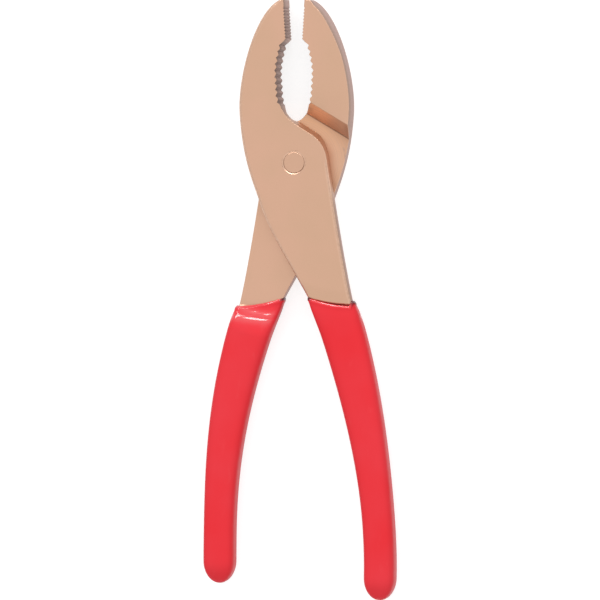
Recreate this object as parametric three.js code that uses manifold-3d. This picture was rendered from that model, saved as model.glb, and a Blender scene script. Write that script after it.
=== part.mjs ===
// Gas pipe pliers: two equal levers lapped on a flush rivet, with flat jaw ends, a toothed
// pipe throat and dipped grips. Millimetres, +Z up. The tool lies on its back face with the
// jaws towards +Y, and the rivet's axis is Z.

import * as THREE from 'three';
import { mergeVertices } from 'three/addons/utils/BufferGeometryUtils.js';
import Module from 'manifold-3d';

const wasm = await Module();
wasm.setup();

// Angles are in degrees. A lever is drawn with its jaw shut against the centre plane x = 0.
const REST_OPENING = 7.2;

// Thickness and fits
const HEAD_THICKNESS = 11;
const LAP_GAP = 0.3;
const JAW_GAP = 0.3;
const RIVET_GAP = 0.25;
const GRIP_FIT = 0.3;

// Jaw and waist, measured from the rivet's axis
const JAW_REACH = 54.5;
const TIP_WIDTH = 1.5;
const HEAD_HALF_WIDTH = 17.55;
const WIDEST_AT = 17.5;
const WAIST_HALF_WIDTH = 12.95;
const WAIST_AT = -11;
const WAIST_CORNER = 2;
const CHEEK_RADIUS = 11.1;
const SHOULDER_ANGLE = 60;
const EDGE_ROUND = 1.2;

// Flat gripping ends
const FLAT_FOOT = 41.4;
const FLAT_CHAMFER = 1.6;
const PLAIN_TIP = 2.4;
const SERRATION_PITCH = 1.05;
const SERRATION_DEPTH = 0.35;

// Pipe throat
const THROAT_HALF_WIDTH = 4.15;
const THROAT_FOOT = 21.9;
const THROAT_SIDE = 7.6;
const THROAT_BEND = 3.6;
const TOOTH_PITCH = 2.1;
const TOOTH_DEPTH = 0.65;
const TEETH_BELOW_FOOT = 2.5;
const TEETH_ABOVE_LIP = 0.4;

// Step from the full jaw down to the lap: its foot's distance from the axis, run and slant
const STEP_FOOT = 15.9;
const STEP_RUN = 4.2;
const STEP_SLANT = 27.4;

// Rivet with flush countersunk heads
const RIVET_HEAD_DIAMETER = 7;
const RIVET_SHANK_DIAMETER = 6.2;
const COUNTERSINK_DEPTH = 1.5;

// Handles: their common root, and the ends of the two centre lines
const ROOT_X = 6.6;
const ROOT_Y = -38.4;
const ROOT_ANGLE = -71;
const FRONT_HANDLE = { tipX: 18.7, tipY: -147.4, leavePull: 34, arrive: -98, arrivePull: 31 };
const REAR_HANDLE = { tipX: 17.3, tipY: -141.7, leavePull: 47.9, arrive: -93, arrivePull: 26.6 };

// Flat neck: how far it runs into the grip's core, its slope down to the core and its seat in it
const NECK_LENGTH = 17;
const NECK_SLOPE = 5;
const NECK_SEAT = 0.15;

// Dipped grips
const GRIP_WALL = 0.8;
const GRIP_TOP_WIDTH = 14.7;
const GRIP_END_WIDTH = 10.4;
const GRIP_TAPER_LENGTH = 78;
const GRIP_TOP_ROUND = 2.4;
const GRIP_ROUND = 3.2;
const GRIP_TIP_ROUND = 7.5;
const JOGGLE_START = 8.5;
const JOGGLE_LENGTH = 12;
const RIM_CENTRE = 9.4;
const RIM_BELOW = 47.1;
const RIM_SLANT = -12;
const RIM_HALF_SPAN = 8.3;
const RIM_SAG = 0.8;
const RIM_SHOW = 0.5;

// Curves of the outline: direction and pull at the start and at the end of each stretch
const JAW_BACK = { leave: -161, leavePull: 8.8, arrive: -90, arrivePull: 12.8 };
const WAIST_BEND = { leave: -90, leavePull: 13.6, arrive: -73, arrivePull: 7.3 };
const INNER_EDGE = { leave: -76.5, leavePull: 13.7, arrivePull: 15.3 };
const OUTER_EDGE = { leavePull: 10.4, arrive: 90, arrivePull: 2 };
const THROAT_FLOOR = { leave: 143, leavePull: 7.1, arrive: 103, arrivePull: 7.1 };

// Fineness of the facets, and how far a cutter runs past what it cuts
const CURVE_STEPS = 12;
const ROUND_STEPS = 32;
const CORNER_STEPS = 3;
const EDGE_STEPS = 2;
const RING_SPACING = 4;
const TIP_RINGS = 4;
const OVERRUN = 1;
const FAR = 90;

const BRONZE = new THREE.MeshStandardMaterial({ color: 0xd6ac92, roughness: 0.42, metalness: 0.9 });
const RIVET_BRONZE = new THREE.MeshStandardMaterial({ color: 0xd2a78c, roughness: 0.38, metalness: 0.9 });
const RED_VINYL = new THREE.MeshStandardMaterial({ color: 0xe8323a, roughness: 0.28, metalness: 0 });

const LAP_LEVEL = HEAD_THICKNESS / 2 + LAP_GAP / 2;
const GRIP_INSET = GRIP_WALL + GRIP_FIT;

const { degToRad, lerp, radToDeg, smoothstep } = THREE.MathUtils;

function heading(angle) {
  return new THREE.Vector2(Math.cos(degToRad(angle)), Math.sin(degToRad(angle)));
}

// Turn a closed geometry into a solid for joining and cutting.
function solid(geometry) {
  const bare = geometry.clone();
  bare.deleteAttribute('normal');
  bare.deleteAttribute('uv');
  const welded = mergeVertices(bare);
  const corners = welded.index.array;
  const kept = [];
  for (let i = 0; i < corners.length; i += 3) {
    const [a, b, c] = [corners[i], corners[i + 1], corners[i + 2]];
    if (a !== b && b !== c && c !== a) {
      kept.push(a, b, c);
    }
  }
  return new wasm.Manifold(new wasm.Mesh({
    numProp: 3,
    vertProperties: welded.attributes.position.array,
    triVerts: new Uint32Array(kept),
  }));
}

function namedMesh(name, shape, material) {
  const { vertProperties, triVerts } = shape.getMesh();
  const geometry = new THREE.BufferGeometry();
  geometry.setAttribute('position', new THREE.BufferAttribute(new Float32Array(vertProperties), 3));
  geometry.setIndex(new THREE.BufferAttribute(new Uint32Array(triVerts), 1));
  geometry.computeVertexNormals();
  const mesh = new THREE.Mesh(geometry, material);
  mesh.name = name;
  return mesh;
}

// A plate of the given outline, from z = low to z = high, with its edges rounded if asked.
function plate(outline, low, high, round = 0) {
  const geometry = new THREE.ExtrudeGeometry(outline, {
    depth: high - low - 2 * round,
    curveSegments: CURVE_STEPS,
    bevelEnabled: round > 0,
    bevelSize: round,
    bevelOffset: -round,
    bevelThickness: round,
    bevelSegments: EDGE_STEPS,
  });
  geometry.translate(0, 0, low + round);
  return solid(geometry);
}

// A solid of revolution about Z from points of radius and height.
function turned(profile) {
  const points = profile.map(([radius, height]) => new THREE.Vector2(radius, height));
  const geometry = new THREE.LatheGeometry(points, ROUND_STEPS);
  geometry.rotateX(Math.PI / 2);
  return solid(geometry);
}

// Continue a path to a point along a cubic with a set direction and pull at each end.
function bend(path, x, y, { leave, leavePull, arrive, arrivePull }) {
  const first = heading(leave).multiplyScalar(leavePull).add(path.currentPoint);
  const second = new THREE.Vector2(x, y).sub(heading(arrive).multiplyScalar(arrivePull));
  path.bezierCurveTo(first.x, first.y, second.x, second.y, x, y);
}

// Centre line of a handle, from its root to the end of its grip
function centreLine({ tipX, tipY, leavePull, arrive, arrivePull }) {
  const line = new THREE.Path();
  line.moveTo(ROOT_X, ROOT_Y);
  bend(line, tipX, tipY, { leave: ROOT_ANGLE, leavePull, arrive, arrivePull });
  return line.curves[0];
}

// Cross section of the grip at a distance from the root, drawn in all round by the inset
function gripSection(distance, inset) {
  const taper = smoothstep(distance, JOGGLE_START, JOGGLE_START + GRIP_TAPER_LENGTH);
  const joggle = smoothstep(distance, JOGGLE_START, JOGGLE_START + JOGGLE_LENGTH);
  return {
    half: lerp(GRIP_TOP_WIDTH, GRIP_END_WIDTH, taper) / 2 - inset,
    low: lerp(LAP_LEVEL - NECK_SEAT - GRIP_INSET, 0, joggle) + inset,
    high: HEAD_THICKNESS - inset,
    round: lerp(GRIP_TOP_ROUND, GRIP_ROUND, joggle) - inset,
  };
}

// The corners where the flat neck ends inside the grip's core, and its direction there
function neckEnd(line) {
  const share = NECK_LENGTH / line.getLength();
  const along = line.getTangentAt(share);
  const across = new THREE.Vector2(-along.y, along.x);
  const half = gripSection(NECK_LENGTH, GRIP_INSET + NECK_SEAT).half;
  return {
    along,
    angle: radToDeg(along.angle()),
    inner: line.getPointAt(share).addScaledVector(across, -half),
    outer: line.getPointAt(share).addScaledVector(across, half),
  };
}

// Back of the jaw, waist and inner edge, from the jaw tip down to the end of the neck
function traceBack(path, neck) {
  path.lineTo(-TIP_WIDTH, JAW_REACH);
  bend(path, -HEAD_HALF_WIDTH, WIDEST_AT, JAW_BACK);
  bend(path, -WAIST_HALF_WIDTH, WAIST_AT, WAIST_BEND);
  const intoCorner = heading(WAIST_BEND.arrive).multiplyScalar(WAIST_CORNER / 2).add(path.currentPoint);
  const corner = heading(INNER_EDGE.leave).multiplyScalar(WAIST_CORNER / 2).add(intoCorner);
  path.quadraticCurveTo(intoCorner.x, intoCorner.y, corner.x, corner.y);
  bend(path, neck.inner.x, neck.inner.y, { ...INNER_EDGE, arrive: neck.angle });
}

// Outer edge, from the end of the neck up to the cheek beside the rivet
function traceOuter(path, neck) {
  path.lineTo(neck.outer.x, neck.outer.y);
  bend(path, CHEEK_RADIUS, 0, { ...OUTER_EDGE, leave: neck.angle + 180 });
}

// The throat's side, from its foot up to the chamfer below the flat
function throatSide() {
  const foot = new THREE.Vector2(-THROAT_HALF_WIDTH, THROAT_FOOT);
  const sideTop = foot.clone().add(new THREE.Vector2(0, THROAT_SIDE));
  const pull = sideTop.clone().add(new THREE.Vector2(0, THROAT_BEND));
  const lip = new THREE.Vector2(-JAW_GAP / 2 - FLAT_CHAMFER, FLAT_FOOT - FLAT_CHAMFER);
  const side = new THREE.CurvePath();
  side.add(new THREE.LineCurve(foot, sideTop));
  side.add(new THREE.QuadraticBezierCurve(sideTop, pull, lip));
  return side;
}

// The line that the teeth follow: the throat's side, run on into its floor and the chamfer
function toothLine() {
  const stretches = throatSide().curves;
  const foot = stretches[0].v1;
  const lip = stretches.at(-1).v2;
  const below = foot.clone().addScaledVector(heading(THROAT_FLOOR.arrive), -TEETH_BELOW_FOOT);
  const chamfer = new THREE.Vector2(-JAW_GAP / 2, FLAT_FOOT).sub(lip);
  const line = new THREE.CurvePath();
  line.add(new THREE.LineCurve(below, foot));
  for (const stretch of stretches) {
    line.add(stretch);
  }
  line.add(new THREE.LineCurve(lip, lip.clone().add(chamfer.setLength(TEETH_ABOVE_LIP))));
  return line;
}

function headOutline(neck) {
  const outline = new THREE.Shape();
  outline.moveTo(-JAW_GAP / 2, JAW_REACH);
  traceBack(outline, neck);
  traceOuter(outline, neck);
  outline.absarc(0, 0, CHEEK_RADIUS, 0, degToRad(SHOULDER_ANGLE), false);
  bend(outline, -THROAT_HALF_WIDTH, THROAT_FOOT, THROAT_FLOOR);
  for (const stretch of throatSide().curves) {
    outline.curves.push(stretch);
    outline.currentPoint.copy(stretch.v2);
  }
  outline.lineTo(-JAW_GAP / 2, FLAT_FOOT);
  return outline;
}

// The same outer edges with the jaw mouth filled in, for rounding the outer edges alone
function roundedOutline(neck) {
  const past = neck.along.clone().multiplyScalar(2 * EDGE_ROUND);
  const outline = new THREE.Shape();
  outline.moveTo(HEAD_HALF_WIDTH, JAW_REACH);
  traceBack(outline, neck);
  outline.lineTo(neck.inner.x + past.x, neck.inner.y + past.y);
  outline.lineTo(neck.outer.x + past.x, neck.outer.y + past.y);
  traceOuter(outline, neck);
  outline.lineTo(HEAD_HALF_WIDTH, STEP_FOOT);
  return outline;
}

// A V-shaped prism through the head, cut depth deep into the edge on the left of the heading.
function groove(at, along, pitch, depth) {
  const inward = new THREE.Vector2(-along.y, along.x);
  const halfMouth = (pitch / 2) * (1 + OVERRUN / depth);
  const corner = (reach, sideways) => at.clone().addScaledVector(inward, reach).addScaledVector(along, sideways);
  const outline = new THREE.Shape([
    corner(depth, 0),
    corner(-OVERRUN, -halfMouth),
    corner(-OVERRUN, halfMouth),
  ]);
  return plate(outline, -OVERRUN, HEAD_THICKNESS + OVERRUN);
}

function jawGrooves() {
  const grooves = [];
  const line = toothLine();
  const teeth = Math.floor(line.getLength() / TOOTH_PITCH);
  for (let i = 0; i < teeth; i += 1) {
    const place = (i + 0.5) / teeth;
    grooves.push(groove(line.getPointAt(place), line.getTangentAt(place), TOOTH_PITCH, TOOTH_DEPTH));
  }
  const up = heading(90);
  const serrations = Math.floor((JAW_REACH - PLAIN_TIP - FLAT_FOOT) / SERRATION_PITCH);
  for (let i = 0; i < serrations; i += 1) {
    const at = new THREE.Vector2(-JAW_GAP / 2, FLAT_FOOT + (i + 0.5) * SERRATION_PITCH);
    grooves.push(groove(at, up, SERRATION_PITCH, SERRATION_DEPTH));
  }
  return grooves;
}

// A long prism lying in a slanted direction, with its section's first axis across that direction
function slantedPrism(section, slant, x, y) {
  const outline = new THREE.Shape(section.map(([across, height]) => new THREE.Vector2(across, height)));
  const geometry = new THREE.ExtrudeGeometry(outline, { depth: 2 * FAR, bevelEnabled: false });
  geometry.translate(0, 0, -FAR);
  const across = heading(slant + 90);
  const along = heading(slant);
  geometry.applyMatrix4(new THREE.Matrix4().makeBasis(
    new THREE.Vector3(across.x, across.y, 0),
    new THREE.Vector3(0, 0, 1),
    new THREE.Vector3(along.x, along.y, 0),
  ));
  geometry.translate(x, y, 0);
  return solid(geometry);
}

// What is taken off the back of the jaw to leave the lap, with the sloped step at its end
function lapCut() {
  const topEdge = STEP_FOOT + STEP_RUN * (1 + OVERRUN / LAP_LEVEL);
  const section = [[-FAR, -OVERRUN], [topEdge, -OVERRUN], [STEP_FOOT, LAP_LEVEL], [-FAR, LAP_LEVEL]];
  return slantedPrism(section, STEP_SLANT, 0, 0);
}

// What is taken off the neck's face so that it eases down into the grip
function neckCut() {
  const drop = GRIP_INSET + NECK_SEAT;
  const floor = HEAD_THICKNESS - drop;
  const foot = RIM_SHOW + RIM_SAG;
  const topEdge = foot + NECK_SLOPE * (1 + OVERRUN / drop);
  const top = HEAD_THICKNESS + OVERRUN;
  const section = [[-FAR, floor], [foot, floor], [topEdge, top], [-FAR, top]];
  return slantedPrism(section, RIM_SLANT, RIM_CENTRE, -RIM_BELOW);
}

function rivetHole() {
  const shank = RIVET_SHANK_DIAMETER / 2 + RIVET_GAP;
  const mouth = RIVET_HEAD_DIAMETER / 2 + RIVET_GAP;
  return turned([
    [0, -OVERRUN],
    [shank, -OVERRUN],
    [shank, HEAD_THICKNESS - COUNTERSINK_DEPTH],
    [mouth, HEAD_THICKNESS],
    [mouth, HEAD_THICKNESS + OVERRUN],
    [0, HEAD_THICKNESS + OVERRUN],
  ]);
}

function rivet() {
  const shank = RIVET_SHANK_DIAMETER / 2;
  const head = RIVET_HEAD_DIAMETER / 2;
  return turned([
    [0, 0],
    [head, 0],
    [shank, COUNTERSINK_DEPTH],
    [shank, HEAD_THICKNESS - COUNTERSINK_DEPTH],
    [head, HEAD_THICKNESS],
    [0, HEAD_THICKNESS],
  ]);
}

// Points of a rounded rectangle standing across a line at a point
function ring(at, along, { half, low, high, round }) {
  const across = new THREE.Vector2(-along.y, along.x);
  const middle = (low + high) / 2;
  const rise = (high - low) / 2;
  const points = [];
  for (let corner = 0; corner < 4; corner += 1) {
    const right = corner === 0 || corner === 3 ? 1 : -1;
    const up = corner < 2 ? 1 : -1;
    for (let i = 0; i <= CORNER_STEPS; i += 1) {
      const turn = heading(90 * (corner + i / CORNER_STEPS));
      const sideways = right * (half - round) + round * turn.x;
      const flat = at.clone().addScaledVector(across, sideways);
      points.push(new THREE.Vector3(flat.x, flat.y, middle + up * (rise - round) + round * turn.y));
    }
  }
  return points;
}

// Skin a closed solid over rings of points, flat at the first ring and closed at the apex.
function loft(rings, apex) {
  const count = rings[0].length;
  const points = rings.flat();
  const base = points.length;
  points.push(rings[0].reduce((sum, p) => sum.add(p), new THREE.Vector3()).divideScalar(count), apex);
  const lastRing = base - count;
  const faces = [];
  for (let j = 0; j < count; j += 1) {
    const next = (j + 1) % count;
    faces.push(base, next, j);
    faces.push(lastRing + j, lastRing + next, base + 1);
    for (let start = 0; start < lastRing; start += count) {
      faces.push(start + j, start + next, start + count + next);
      faces.push(start + j, start + count + next, start + count + j);
    }
  }
  const geometry = new THREE.BufferGeometry().setFromPoints(points);
  geometry.setIndex(faces);
  return solid(geometry);
}

// The handle inside the given inset from the grip's outside, from a distance past the root
function handle(line, inset, first) {
  const length = line.getLength();
  const tipRound = GRIP_TIP_ROUND - inset;
  const shoulder = length - GRIP_TIP_ROUND;
  const ringAt = (distance, section) => {
    const share = distance / length;
    return ring(line.getPointAt(share), line.getTangentAt(share), section);
  };
  const spans = Math.ceil((shoulder - first) / RING_SPACING);
  const rings = [];
  for (let i = 0; i <= spans; i += 1) {
    const distance = lerp(first, shoulder, i / spans);
    rings.push(ringAt(distance, gripSection(distance, inset)));
  }
  for (let i = 1; i < TIP_RINGS; i += 1) {
    const turn = heading((90 * i) / TIP_RINGS);
    const distance = shoulder + tipRound * turn.y;
    const { half, low, high, round } = gripSection(distance, inset);
    const middle = (low + high) / 2;
    const rise = ((high - low) / 2) * turn.x;
    rings.push(ringAt(distance, {
      half: half * turn.x,
      low: middle - rise,
      high: middle + rise,
      round: round * turn.x,
    }));
  }
  const apex = line.getPointAt((shoulder + tipRound) / length);
  return loft(rings, new THREE.Vector3(apex.x, apex.y, HEAD_THICKNESS / 2));
}

// All that lies between the rim, a shallow sagging line across the handle, and a far level
function beyondRim(lift, farLevel) {
  const centre = new THREE.Vector2(RIM_CENTRE, lift - RIM_BELOW);
  const aside = heading(RIM_SLANT).multiplyScalar(FAR);
  const sag = heading(RIM_SLANT - 90).multiplyScalar(2 * RIM_SAG);
  const near = heading(RIM_SLANT).multiplyScalar(RIM_HALF_SPAN);
  const outline = new THREE.Shape();
  outline.moveTo(centre.x - aside.x, farLevel);
  outline.lineTo(centre.x - aside.x, centre.y - aside.y);
  outline.lineTo(centre.x - near.x, centre.y - near.y);
  outline.quadraticCurveTo(centre.x + sag.x, centre.y + sag.y, centre.x + near.x, centre.y + near.y);
  outline.lineTo(centre.x + aside.x, centre.y + aside.y);
  outline.lineTo(centre.x + aside.x, farLevel);
  return plate(outline, -OVERRUN, HEAD_THICKNESS + OVERRUN);
}

// The head with its flat neck, shouldered at the rim so that its end lies inside the core.
// Its outward face has rounded edges, and the face on the lap's side has sharp ones.
function head(line) {
  const neck = neckEnd(line);
  const sharp = plate(headOutline(neck), 0, HEAD_THICKNESS);
  const rounded = plate(roundedOutline(neck), -EDGE_ROUND, HEAD_THICKNESS, EDGE_ROUND);
  const blank = sharp.intersect(rounded);
  const shoulder = beyondRim(RIM_SHOW, -2 * FAR).subtract(handle(line, GRIP_INSET + NECK_SEAT, 0));
  const cuts = [lapCut(), neckCut(), shoulder, rivetHole(), ...jawGrooves()];
  return cuts.reduce((body, cut) => body.subtract(cut), blank);
}

// A lever: the head, and the core that fills the grip from its rim to its end
function lever(line) {
  const core = handle(line, GRIP_INSET, 0).subtract(beyondRim(RIM_SHOW / 2, FAR));
  return head(line).add(core);
}

function grip(line) {
  const sleeve = handle(line, 0, OVERRUN).subtract(handle(line, GRIP_WALL, 0));
  return sleeve.subtract(beyondRim(0, FAR));
}

// A lever with its grip, swung open by half the resting angle
function leverAndGrip(name, shape) {
  const line = centreLine(shape);
  const half = new THREE.Group();
  half.rotation.z = degToRad(REST_OPENING / 2);
  half.add(namedMesh(`${name}_lever`, lever(line), BRONZE));
  half.add(namedMesh(`${name}_grip`, grip(line), RED_VINYL));
  return half;
}

const pliers = new THREE.Group();
pliers.add(leverAndGrip('front', FRONT_HANDLE));
pliers.add(namedMesh('pivot_rivet', rivet(), RIVET_BRONZE));

// The rear lever is the same piece turned over about the tool's long axis.
const turnedOver = new THREE.Group();
turnedOver.rotation.y = Math.PI;
turnedOver.position.z = HEAD_THICKNESS;
turnedOver.add(leverAndGrip('rear', REAR_HANDLE));
pliers.add(turnedOver);

export default pliers;
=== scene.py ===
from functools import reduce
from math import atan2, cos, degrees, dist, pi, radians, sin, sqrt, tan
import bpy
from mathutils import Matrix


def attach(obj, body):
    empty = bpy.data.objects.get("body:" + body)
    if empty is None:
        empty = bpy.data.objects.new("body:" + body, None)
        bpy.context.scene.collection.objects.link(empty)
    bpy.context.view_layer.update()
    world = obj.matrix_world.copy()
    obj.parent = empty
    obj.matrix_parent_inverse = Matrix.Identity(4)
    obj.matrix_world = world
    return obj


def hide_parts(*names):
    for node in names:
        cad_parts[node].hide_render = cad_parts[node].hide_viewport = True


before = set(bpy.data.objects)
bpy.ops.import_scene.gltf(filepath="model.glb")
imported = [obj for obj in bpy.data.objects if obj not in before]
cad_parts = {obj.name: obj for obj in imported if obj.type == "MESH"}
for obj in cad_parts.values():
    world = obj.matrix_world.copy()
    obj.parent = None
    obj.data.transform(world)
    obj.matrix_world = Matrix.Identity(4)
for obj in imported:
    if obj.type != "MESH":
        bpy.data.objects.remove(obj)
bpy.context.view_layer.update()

# Gas pipe pliers in satin copper alloy with dipped red grips, lying on a white studio floor.
# A lever is shaped in millimetres with its jaw shut against x = 0 and its outward face at the
# full thickness, then turned into its place and scaled to metres.

from types import SimpleNamespace

import bmesh
import bpy
import numpy as np
from mathutils import Matrix, Vector, geometry

# Millimetres to metres, a hair small so that no piece passes the box of the solids
METRES = 0.001 * 0.99999

# Sizes shared with the solids, in millimetres and degrees
REST_OPENING = 7.2
THICKNESS = 11.0
LAP_GAP = 0.3
LAP_LEVEL = THICKNESS / 2 + LAP_GAP / 2
JAW_GAP = 0.3
JAW_REACH = 54.5
TIP_WIDTH = 1.5
HEAD_HALF_WIDTH = 17.55
WIDEST_AT = 17.5
WAIST_HALF_WIDTH = 12.95
WAIST_AT = -11.0
WAIST_CORNER = 2.0
CHEEK_RADIUS = 11.1
SHOULDER_ANGLE = 60.0
FLAT_FOOT = 41.4
FLAT_CHAMFER = 1.6
CHAMFER_ANGLE = 45.0
PLAIN_TIP = 2.4
SERRATION_PITCH = 1.05
SERRATION_DEPTH = 0.35
THROAT_HALF_WIDTH = 4.15
THROAT_FOOT = 21.9
THROAT_SIDE = 7.6
THROAT_BEND = 3.6
TOOTH_PITCH = 2.1
TOOTH_DEPTH = 0.65
TEETH_BELOW_FOOT = 2.5
TEETH_ABOVE_LIP = 0.4
STEP_FOOT = 15.9
STEP_RUN = 4.2
STEP_SLANT = 27.4
RIVET_HEAD_RADIUS = 3.5
RIVET_SHANK_RADIUS = 3.1
COUNTERSINK_DEPTH = 1.5
RIVET_GAP = 0.25
ROOT = (6.6, -38.4)
ROOT_ANGLE = -71.0
FRONT_HANDLE = ((18.7, -147.4), (ROOT_ANGLE, 34.0, -98.0, 31.0))
REAR_HANDLE = ((17.3, -141.7), (ROOT_ANGLE, 47.9, -93.0, 26.6))
NECK_LENGTH = 17.0
NECK_SLOPE = 5.0
NECK_SEAT = 0.15
GRIP_INSET = 1.1
CORE_INSET = 1.2
GRIP_TOP_WIDTH = 14.7
GRIP_END_WIDTH = 10.4
GRIP_TAPER_LENGTH = 78.0
GRIP_TOP_ROUND = 2.4
GRIP_ROUND = 3.2
GRIP_TIP_ROUND = 7.5
JOGGLE_START = 8.5
JOGGLE_LENGTH = 12.0
RIM_CENTRE = (9.4, -47.1)
RIM_SLANT = -12.0
RIM_HALF_SPAN = 8.3
RIM_SAG = 0.8

# Curves of a lever's outline: direction and pull at the start and at the end of each stretch
JAW_BACK = (-161.0, 8.8, -90.0, 12.8)
WAIST_BEND = (-90.0, 13.6, -73.0, 7.3)
INNER_EDGE = (-76.5, 13.7, None, 15.3)
OUTER_EDGE = (None, 10.4, 90.0, 2.0)
THROAT_FLOOR = (143.0, 7.1, 103.0, 7.1)

# Rounding of the edges on the outward face and on the lap side, and how it blends along them
TIP_ROUND = (0.85, 0.35)
BACK_ROUND = (1.3, 0.22)
NECK_ROUND = (1.1, 0.22)
CHEEK_ROUND = (0.22, 0.2)
MOUTH_ROUND = (0.2, 0.16)
CORE_EXTRA_ROUND = 0.4
BLEND_REACH = 15
BLEND_WIDTH = 7.0
ROUND_STEPS = 6
SUPPORT = 0.2

# Steps of the lever's mesh, and rows of points above the rim on its two faces
FINE_SPACING = 0.2
CORE_SPACING = 1.2
CORE_SHORT = 4.0
STEP_SPACING = 0.6
CLEAR_OF_EDGE = 0.35
HOLE_SIDES = 144
ROW_SPAN = (-11, 11, 0.5)
SEAT_ROWS = (-3, -2, -1.5, -1, -0.6, -0.3, -0.15, 0, 0.15, 0.3, 0.45, 0.6, 0.9)
SLOPE_ROWS = (-0.6, -0.15, 0.05, 0.2, 0.35, 0.5, 0.75, 1.1, 1.7, 2.4, 3.2, 4, 4.8, 5.4)

# Dressing of the lever: creases, sloped walls, the neck's foot, the rivet's ring and their fades
CREASE = 0.12
CREASE_STEPS = 7
FOOT_LINES, TOP_LINES = (-3.3, -2.1, -1, 0, 1), (-1, 0, 1)
FLOOR_DRAFT = 0.9
FLOOR_IN, FLOOR_OUT = (15, 50), (82, 94)
TIP_DRAFT = 0.6
TIP_ASIDE, TIP_ALONG = (2, 4), (34, 48)
NECK_DROP = 0.5
NECK_EASE = 0.4
NECK_FOOT = 1.3
FOOT_FADE = (-0.15, 0.75)
CORNER_RISE = 0.3
CORNER_ASIDE, CORNER_IN, CORNER_OUT = (4.2, 6.2), (-0.55, 0.15), (0.5, 2)
TUCK_FADE, HIDDEN_FADE, SINK_FADE = (0.1, 1.1), (0.3, 4.0), (0, 2)
GROUND_ABOVE = 0.05
LAP_FADE, MILLED_FADE, MILLED_ASIDE = (19.5, 23), (12.5, 21), (-6, -3)
BORE_CHAMFER = 0.18
RING_GAP = 0.012
RING_WIDTH = (0.08, 0.46)
RING_WIDEST_AT = 252.0
RING_SLOPE = 31.0
TOOTH_CREST = 0.12
CUT_OVERRUN = 0.3
METAL_SHARP_ANGLE = 28

# The grip's wall: its cavity, and its lip as steps along with insets of the faces and the sides
CAVITY_INSET = 1.05
CAVITY_TIP = 5.5
TIP_RINGS = 16
LIP = (
    (3.0, 1.05, 0.95), (1.6, 1.1, 0.7), (0.6, 1.12, 0.62), (0.25, 1.08, 0.58),
    (0.07, 0.98, 0.52), (0.0, 0.8, 0.44), (0.0, 0.62, 0.34), (0.04, 0.48, 0.28),
    (0.12, 0.39, 0.23), (0.3, 0.29, 0.17), (0.5, 0.18, 0.1), (0.66, 0.09, 0.05),
    (0.82, 0.03, 0.02), (1.05, 0.0, 0.0), (1.4, 0.05, 0.05), (1.8, 0.1, 0.1),
    (2.6, 0.08, 0.08), (3.6, 0.03, 0.03), (4.6, 0.0, 0.0),
)
# Fades of the lip's gloss and of the painted shade along the rim
LIP_FADE, RIM_SHADE_FADE = (0.6, 1.0), (0.7, 2.0)
GRIP_SIDES = 144
WRINKLED_LENGTH, WRINKLED_SPACING, PLAIN_SPACING = 12, 0.15, 1.2
TOP_SQUARENESS = 5.0
END_SQUARENESS = 3.8
RIM_LEAN = 0.554
RIM_HOLD, RIM_FADE = 2, 26.0
WRINKLES = {
    "First": {"place": 13.4, "tilt": 0.6, "sag": 1.46, "height": 0.175},
    "Second": {"place": 15.6, "tilt": 1.55, "sag": 0.29, "height": 0.11},
}
WRINKLE_WIDTH = 0.7
GLOSS_SPREAD = 1.8
CORNER_CURL = {"front": 1.9, "rear": 0.2}
# Strength of the painted shade at the outer corner of each grip's rim
OUTER_CORNER_SHADE = {"front": 1.0, "rear": 0.15}
GRIP_SHARP_ANGLE = 60

# Shares of the grip's half width, as a start and a length, over which its features come in
CURL_SHARE = (0.76, 0.22)
RIDGE_SHARE = (0.95, -0.25)
GLOSS_SHARE = (1.05, -0.2)
CORNER_SHADE_SHARE = (0.78, 0.17)
UNDERSIDE_SHARE = (0.2, -0.4)

# Tints of the finishes
LEVER_FACE = ((0.69, 0.42, 0.295), (0.66, 0.415, 0.285))
RIVET_FACE = ((0.67, 0.41, 0.285), (0.65, 0.405, 0.28))
SIDE_TINTS = ((0.47, 0.31, 0.265), (0.38, 0.25, 0.215))
# The ground lap's orange, painted brighter than the metal would be, to stand in for light in its shaded
# corner
BRIGHTENED_LAP_TINT = (1.0, 0.57, 0.34)
# Painted shade on the lap towards the step's foot
FOOT_SHADE_TINT = (0.46, 0.24, 0.14)
# Painted shade towards the top of the side walls
SHADE_TINT = (0.32, 0.185, 0.125)
# Tint of rubbed edges, and a painted highlight on the rivet's ring
WEAR_AND_GLINT_TINT = (0.82, 0.56, 0.42)
# Painted shade in the tooth and serration grooves and along the step's foot
GROOVE_SHADE_TINT = (0.16, 0.085, 0.065)
VINYL_TINTS = ((0.79, 0.046, 0.060), (0.79, 0.032, 0.042))
SCUFF_TINT = (0.84, 0.13, 0.14)
# Painted shade at the corners of the grips' rims
RIM_SHADE_TINT = (0.05, 0.012, 0.014)

# Features of the finishes, in metres
METAL_CLOUD, METAL_WAVES, METAL_SPECK, METAL_FINE = 0.018, 0.006, 0.0009, 0.00016
VINYL_CLOUD, VINYL_WAVES, VINYL_SCUFF, VINYL_PEEL, VINYL_FINE = 0.022, 0.012, 0.0035, 0.0011, 0.0002
PAPER_FIBRE = 0.0012
RUB_RADIUS = 0.0166
RUB_PATCH = 0.004
RUB_RINGS = 5200.0

# Light and camera
SKY = (0.6, 1.0)
FLOOR_GLOW = 0.72
FLOOR_DROP = 0.00005
VIEW_TILT = radians(10.5)
VIEW_TARGET = (0.002102, -0.04583, 0.011)
VIEW_DISTANCE = 4.4444
LENS = 800


def heading(angle):
    return np.array([cos(radians(angle)), sin(radians(angle))])


def smoothstep(value, low, high):
    share = np.clip((np.asarray(value, float) - low) / (high - low), 0, 1)
    return share * share * (3 - 2 * share)


def lerp(a, b, share):
    return a + (b - a) * share


def unit(vectors):
    return vectors / np.linalg.norm(vectors, axis=1)[:, None]


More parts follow.
